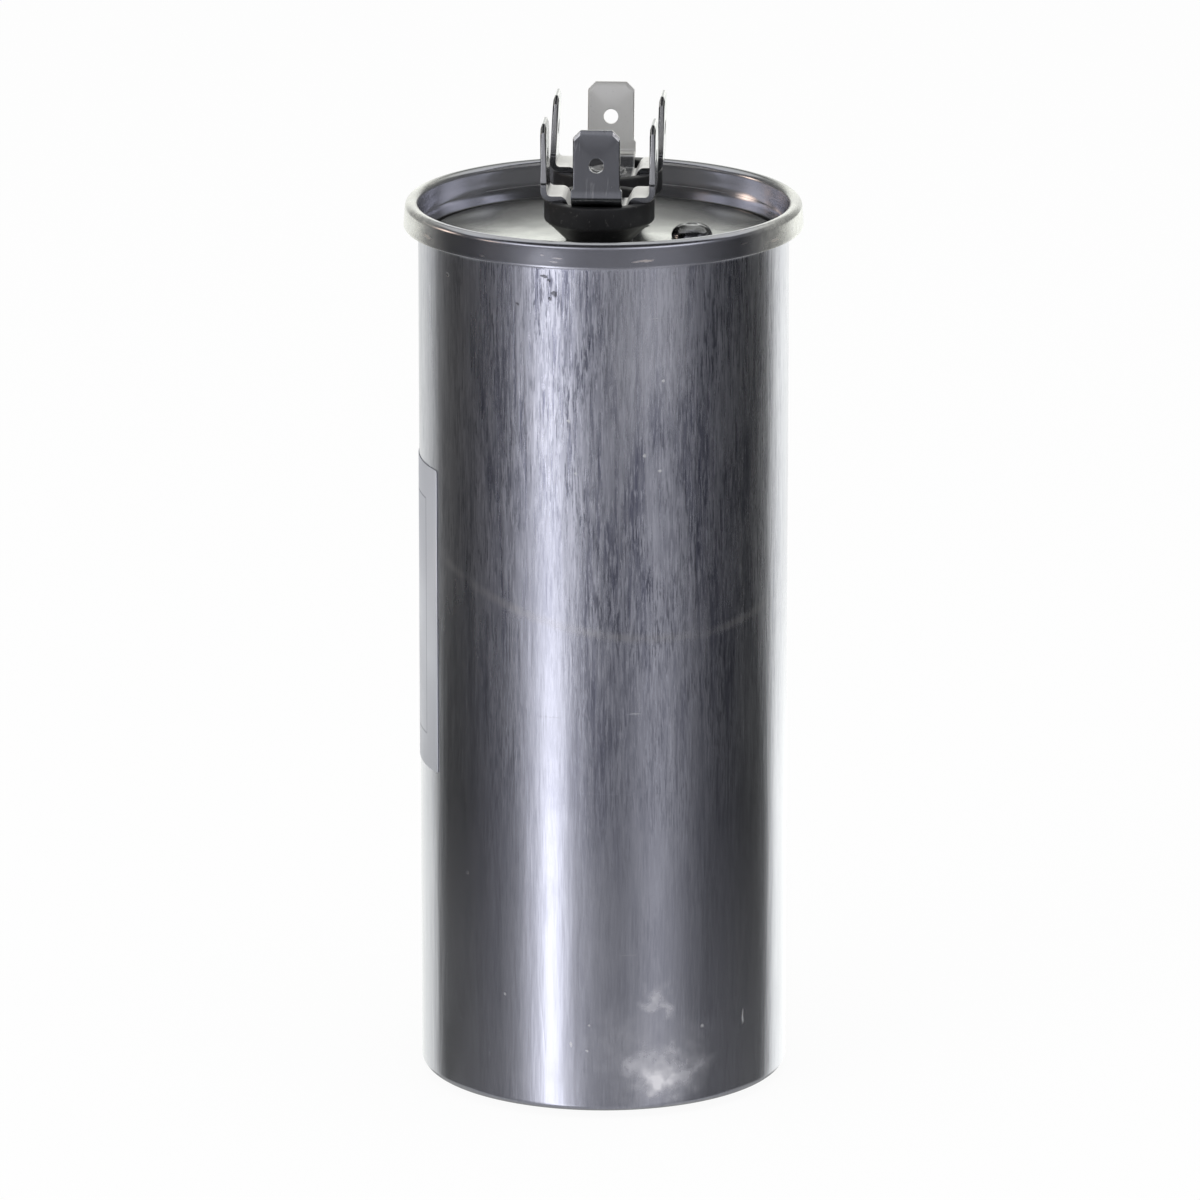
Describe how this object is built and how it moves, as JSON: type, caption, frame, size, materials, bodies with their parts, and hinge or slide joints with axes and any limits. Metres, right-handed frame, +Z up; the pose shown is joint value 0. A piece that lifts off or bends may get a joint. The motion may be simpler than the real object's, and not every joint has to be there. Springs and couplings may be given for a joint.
{
  "type": "motor run capacitor",
  "caption": "Sealed cylindrical capacitor can with a seamed recessed lid and insulated quick-connect tab clusters, for running single-phase motors.",
  "frame": {"origin": "centre of the flat base", "axes": "+Z up along the can towards the tabs; +Y from the front stud to the rear stud; +X towards the fill plug"},
  "size_m": [0.054, 0.054, 0.1351],
  "materials": {
    "can_aluminium": "drawn, dull, streaked",
    "lid_tinplate": "semi-gloss tinplate",
    "seam_compound": "matte",
    "plug_solder": "glossy",
    "label_foil": "silver foil, satin",
    "bush_plastic": "black, satin",
    "gasket_rubber": "matte",
    "tab_tinned": "tin-plated, satin",
    "rivet_tinned": "tin-plated, satin",
    "washer_plastic": "matte",
    "lug_brass": "plain",
    "lead_copper": "tinned copper wire",
    "film_winding": "metallised film edge",
    "end_spray": "rough sprayed zinc",
    "core_plastic": "matte",
    "wrap_film": "clear amber film",
    "cup_plastic": "matte",
    "spacer_board": "pressed board"
  },
  "bodies": {
    "root": {"bottom_cup": "cup_plastic", "can": "can_aluminium", "core_tube": "core_plastic", "element_wrap": "wrap_film", "fill_plug": "plug_solder", "front_gasket": "gasket_rubber", "front_inner_washer": "washer_plastic", "front_insulator": "bush_plastic", "front_lead": "lead_copper", "front_lug": "lug_brass", "front_rivet": "rivet_tinned", "front_terminal": "tab_tinned", "label": "label_foil", "lid": "lid_tinplate", "lower_end_spray": "end_spray", "rear_gasket": "gasket_rubber", "rear_inner_washer": "washer_plastic", "rear_insulator": "bush_plastic", "rear_lead": "lead_copper", "rear_lug": "lug_brass", "rear_rivet": "rivet_tinned", "rear_terminal": "tab_tinned", "seam_compound": "seam_compound", "top_spacer": "spacer_board", "upper_end_spray": "end_spray", "wound_element": "film_winding"}
  },
  "joints": []
}
